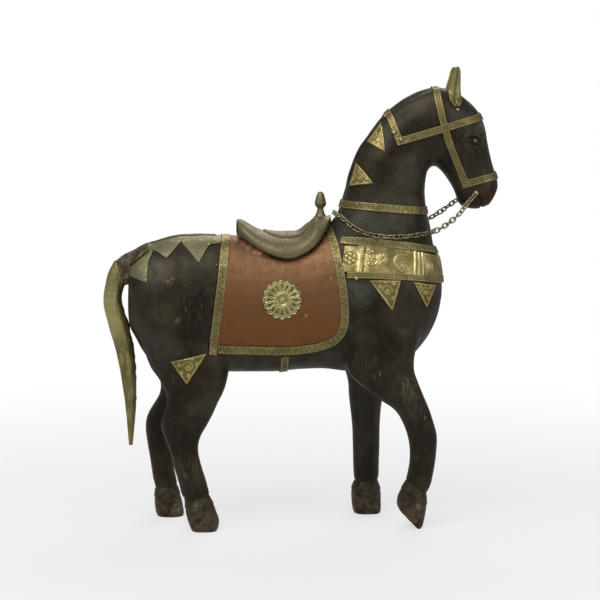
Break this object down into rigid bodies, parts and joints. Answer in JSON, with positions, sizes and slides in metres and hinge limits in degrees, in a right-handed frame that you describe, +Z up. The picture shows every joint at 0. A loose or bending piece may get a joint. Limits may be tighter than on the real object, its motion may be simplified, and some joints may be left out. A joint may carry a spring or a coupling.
{
  "type": "wooden horse sculpture",
  "caption": "Standing carved wooden horse in mid stride, clad with a copper saddle cloth, a brass saddle, brass harness strips and plates, and a small chain as reins.",
  "frame": {"origin": "on the floor below the middle of the whole object", "axes": "+Z up, +X toward the head, +Y to the horse's left, away from the viewer of the picture"},
  "size_m": [0.3942, 0.1046, 0.4558],
  "materials": {
    "dark_wood": "near-black stained and oiled hardwood, worn and scratched",
    "strip_brass": "tarnished olive-gold brass strip, punched and nailed",
    "panel_brass": "embossed brass sheet, worn bright on the high places",
    "saddle_brass": "smooth dull grey-olive brass sheet",
    "copper_sheet": null,
    "chain_brass": "dark bronze-brown tarnished brass"
  },
  "bodies": {
    "root": {"horse": "dark_wood", "tail": "dark_wood", "tail_cover": "panel_brass", "croup_plate": "strip_brass", "crupper_strip": "saddle_brass", "thigh_plate_right": "panel_brass", "thigh_plate_left": "panel_brass", "saddle_cloth": "copper_sheet", "cloth_border_rear": "strip_brass", "cloth_border_front": "strip_brass", "rosette_right": "panel_brass", "rosette_left": "panel_brass", "girth_strap": "strip_brass", "saddle": "saddle_brass", "saddle_seat": "saddle_brass", "pommel_finial": "saddle_brass", "breast_band_upper": "strip_brass", "breast_band_lower": "strip_brass", "breast_panel": "panel_brass", "breast_point_rear_right": "panel_brass", "breast_point_rear_left": "panel_brass", "breast_point_front_right": "panel_brass", "breast_point_front_left": "panel_brass", "neck_band": "strip_brass", "crest_plate_upper_right": "panel_brass", "crest_plate_upper_left": "panel_brass", "crest_plate_lower_right": "panel_brass", "crest_plate_lower_left": "panel_brass", "cheek_strap": "strip_brass", "brow_strap": "strip_brass", "mane_strap": "strip_brass", "noseband": "strip_brass", "ear_right": "panel_brass", "ear_left": "panel_brass", "eye_tack_right": "chain_brass", "eye_tack_left": "chain_brass", "bit_tack_right": "panel_brass", "bit_tack_left": "panel_brass", "rein_chain": "chain_brass"}
  },
  "joints": []
}
